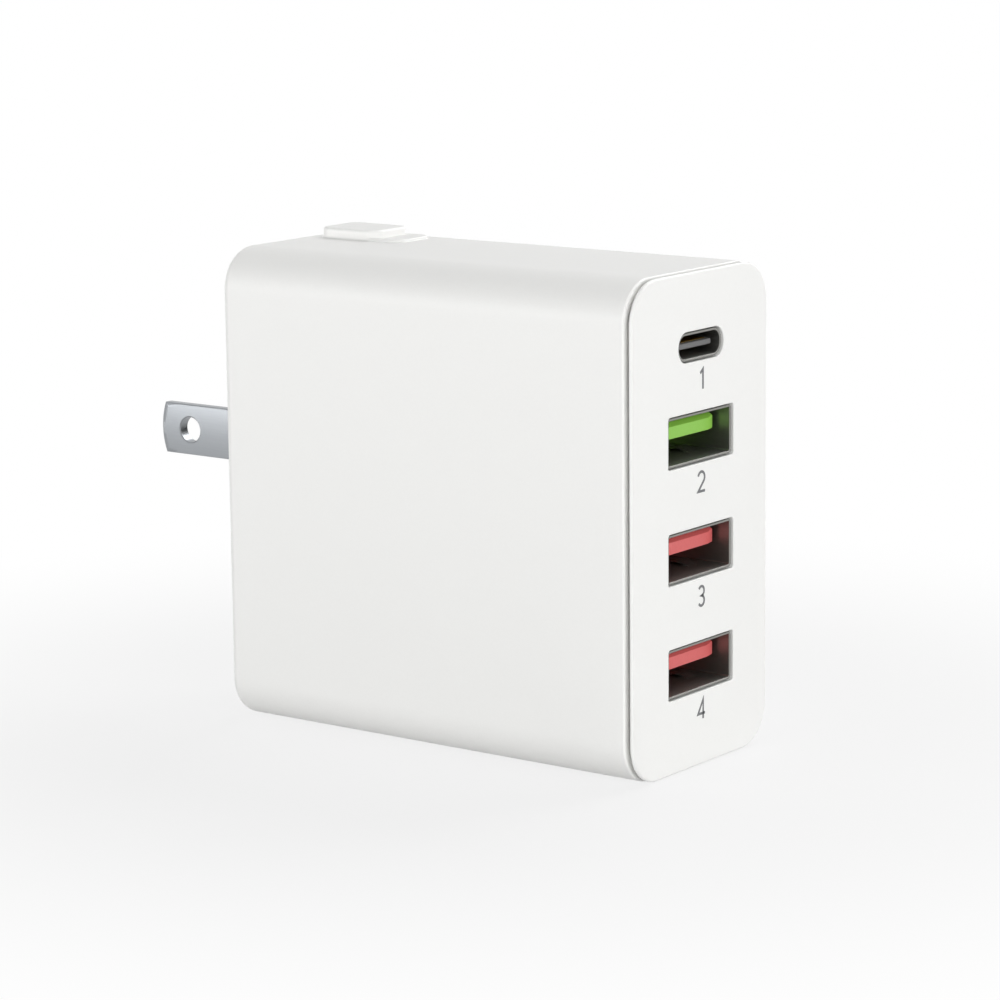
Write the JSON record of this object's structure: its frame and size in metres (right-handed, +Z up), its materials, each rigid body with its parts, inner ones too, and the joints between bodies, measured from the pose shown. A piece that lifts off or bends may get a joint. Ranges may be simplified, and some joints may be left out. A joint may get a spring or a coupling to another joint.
{
  "type": "multi-port usb wall charger",
  "caption": "White upright USB wall charger with a USB-C socket above coloured USB-A sockets on its front edge, and flat mains blades that fold into its back.",
  "frame": {"origin": "middle of the bottom face that the charger stands on, half way along the case", "axes": "+Z up, +Y out of the rear face along the blades, so the ports look to -Y, +X across the thin way so that the large side seen in the picture faces -X"},
  "size_m": [0.028, 0.0764, 0.0593],
  "materials": {
    "white_case_plastic": "moulded, satin gloss",
    "white_inner_plastic": "moulded, matt",
    "socket_steel": "stamped, nickel plated",
    "green_tongue_plastic": "moulded, satin",
    "red_tongue_plastic": "moulded, satin",
    "grey_tongue_plastic": "moulded, satin",
    "gold_contact": "stamped, gold plated",
    "blade_metal": "stamped, nickel plated",
    "strip_metal": "stamped",
    "capacitor_sleeve": "can in a shrunk sleeve",
    "ferrite": "pressed and fired",
    "bobbin_plastic": "moulded",
    "winding_tape": "wrapped tape",
    "enamelled_copper": "wound wire",
    "coated_ceramic": "dipped",
    "fuse_body": "fired tube",
    "board_laminate": "solder mask",
    "spreader_aluminium": "rolled",
    "insulating_film": "film",
    "silicone_pad": "cast"
  },
  "bodies": {
    "charger": {"housing": "white_case_plastic", "port_panel": "white_case_plastic", "plug_bay": "white_inner_plastic", "usb_a_shell_1": "socket_steel", "usb_a_shell_2": "socket_steel", "usb_a_shell_3": "socket_steel", "usb_c_shell": "socket_steel", "transformer_pins": "socket_steel", "usb_a_insulator_1": "green_tongue_plastic", "usb_a_insulator_2": "red_tongue_plastic", "usb_a_insulator_3": "red_tongue_plastic", "usb_c_insulator": "grey_tongue_plastic", "usb_a_contacts_1": "gold_contact", "usb_a_contacts_2": "gold_contact", "usb_a_contacts_3": "gold_contact", "usb_c_contacts": "gold_contact", "contact_strip_live": "strip_metal", "contact_strip_neutral": "strip_metal", "bulk_capacitor_1": "capacitor_sleeve", "bulk_capacitor_2": "capacitor_sleeve", "output_capacitor_1": "capacitor_sleeve", "output_capacitor_2": "capacitor_sleeve", "output_capacitor_3": "capacitor_sleeve", "transformer_core": "ferrite", "choke_core": "ferrite", "transformer_bobbin": "bobbin_plastic", "bridge_rectifier": "bobbin_plastic", "board_chips": "bobbin_plastic", "port_chips": "bobbin_plastic", "transformer_winding": "winding_tape", "line_capacitor": "winding_tape", "choke_winding": "enamelled_copper", "bridging_capacitor": "coated_ceramic", "fuse": "fuse_body", "main_board": "board_laminate", "port_board": "board_laminate", "heat_spreader": "spreader_aluminium", "insulating_sheet": "insulating_film", "thermal_pad": "silicone_pad"},
    "plug": {"plug_barrel": "white_inner_plastic", "plug_blade_live": "blade_metal", "plug_blade_neutral": "blade_metal"}
  },
  "joints": [
    {"name": "plug_fold", "type": "hinge", "parent": "charger", "child": "plug", "pos_m": [0, 0.0261, 0.03385], "axis": [-1, 0, 0], "range_deg": [0, 90]}
  ]
}
